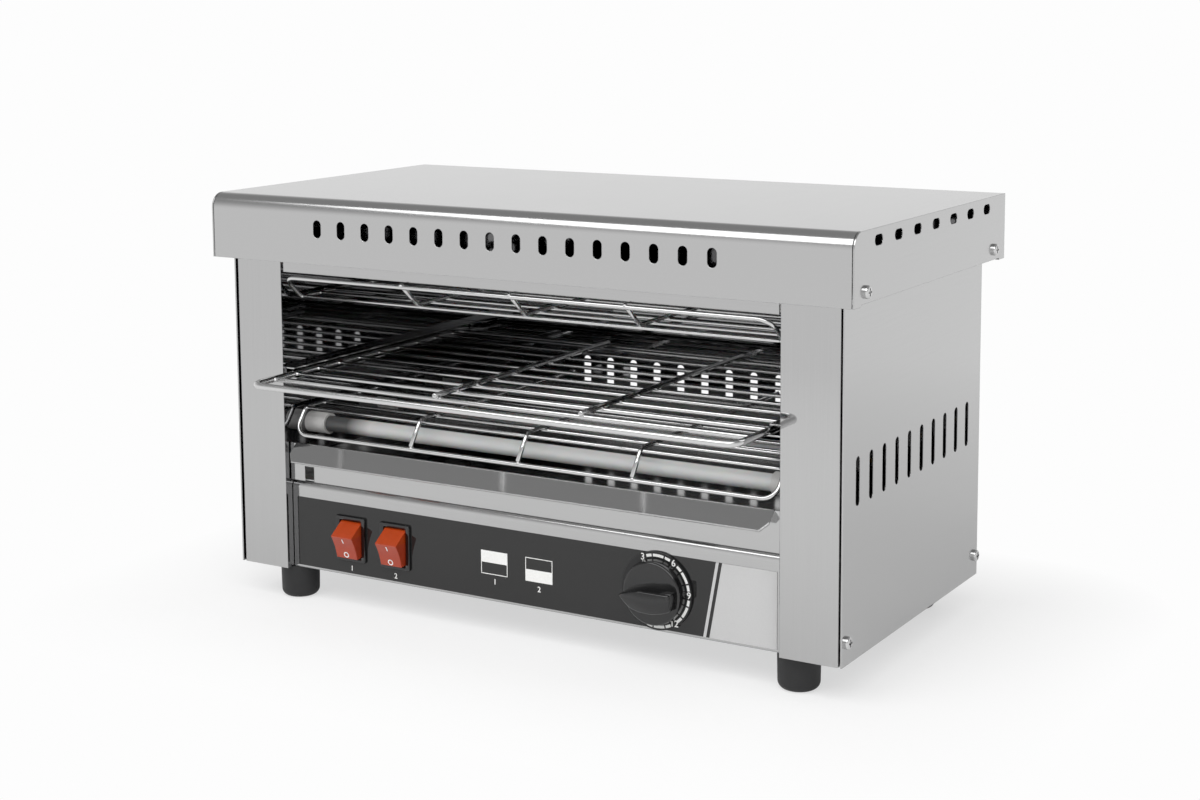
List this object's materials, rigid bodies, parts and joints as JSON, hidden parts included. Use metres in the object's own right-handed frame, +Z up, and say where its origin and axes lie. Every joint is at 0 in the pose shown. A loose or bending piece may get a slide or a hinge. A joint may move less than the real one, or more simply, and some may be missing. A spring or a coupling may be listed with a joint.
{
  "type": "commercial toaster",
  "caption": "Open-front countertop quartz toaster with a pull-out wire rack, crumb tray, rocker switches and a turn timer under a flat steel hood.",
  "frame": {"origin": "on the floor under the feet, midway between the casing's sides and midway between the front of the rack at rest and the back of the hood", "axes": "+X to the viewer's right along the front, +Y to the back, +Z up"},
  "size_m": [0.4852, 0.2852, 0.2845],
  "materials": {
    "polished_steel": "mirror-polished stainless steel sheet",
    "satin_steel": "satin stainless steel sheet",
    "wire_steel": "bright drawn stainless wire",
    "galvanised_steel": "plain zinc-coated sheet and fasteners",
    "panel_film": "gloss printed film",
    "black_plastic": "gloss black plastic",
    "dial_black": "matt black with white printing",
    "switch_red": "translucent orange-red plastic",
    "quartz": "milky quartz glass",
    "heating_wire": "oxidised resistance wire",
    "ceramic": "unglazed white steatite",
    "foot_rubber": "matt black rubber",
    "brass_terminals": "plain brass",
    "grey_plastic": "matt grey thermoset"
  },
  "bodies": {
    "casing": {"hood": "satin_steel", "left_side_cover": "satin_steel", "right_side_cover": "satin_steel", "left_side_frame": "polished_steel", "right_side_frame": "polished_steel", "back_panel": "polished_steel", "base_pan": "galvanised_steel", "ceiling_reflector": "polished_steel", "control_panel": "polished_steel", "left_rack_rail": "polished_steel", "right_rack_rail": "polished_steel", "upper_guard_grid": "wire_steel", "upper_guard_front": "wire_steel", "lower_guard_grid": "wire_steel", "lower_guard_front": "wire_steel", "panel_overlay": "panel_film", "switch_1_body": "black_plastic", "switch_2_body": "black_plastic", "timer_body": "grey_plastic", "timer_dial_ring": "dial_black", "lower_heating_coils": "heating_wire", "upper_heating_coils": "heating_wire", "lower_ceramic_caps": "ceramic", "upper_ceramic_caps": "ceramic", "lower_terminal_pins": "brass_terminals", "upper_terminal_pins": "brass_terminals", "foot_screws": "galvanised_steel", "side_cover_screws": "wire_steel", "hood_screws": "wire_steel", "hood_spacers": "galvanised_steel", "cable_gland": "black_plastic", "terminal_block": "grey_plastic", "lower_front_quartz_tube": "quartz", "lower_middle_quartz_tube": "quartz", "lower_rear_quartz_tube": "quartz", "upper_front_quartz_tube": "quartz", "upper_middle_quartz_tube": "quartz", "upper_rear_quartz_tube": "quartz", "front_left_foot": "foot_rubber", "front_right_foot": "foot_rubber", "rear_left_foot": "foot_rubber", "rear_right_foot": "foot_rubber"},
    "food_rack": {"food_rack": "wire_steel"},
    "crumb_tray": {"crumb_tray": "polished_steel"},
    "timer_knob": {"timer_knob": "black_plastic", "timer_shaft": "wire_steel"},
    "switch_1_rocker": {"switch_1_rocker": "switch_red"},
    "switch_2_rocker": {"switch_2_rocker": "switch_red"}
  },
  "joints": [
    {"name": "food_rack_slide", "type": "slide", "parent": "casing", "child": "food_rack", "axis": [0, -1, 0], "range_m": [-0.022, 0.15]},
    {"name": "crumb_tray_slide", "type": "slide", "parent": "casing", "child": "crumb_tray", "axis": [0, -1, 0], "range_m": [0, 0.15]},
    {"name": "timer_turn", "type": "hinge", "parent": "casing", "child": "timer_knob", "pos_m": [0.102, -0.09077, 0.0501], "axis": [0, 1, 0], "range_deg": [0, 275]},
    {"name": "switch_1_rock", "type": "hinge", "parent": "casing", "child": "switch_1_rocker", "pos_m": [-0.13785, -0.08818, 0.0501], "axis": [1, 0, 0], "range_deg": [-44, 0]},
    {"name": "switch_2_rock", "type": "hinge", "parent": "casing", "child": "switch_2_rocker", "pos_m": [-0.10055, -0.08818, 0.0501], "axis": [1, 0, 0], "range_deg": [-44, 0]}
  ]
}
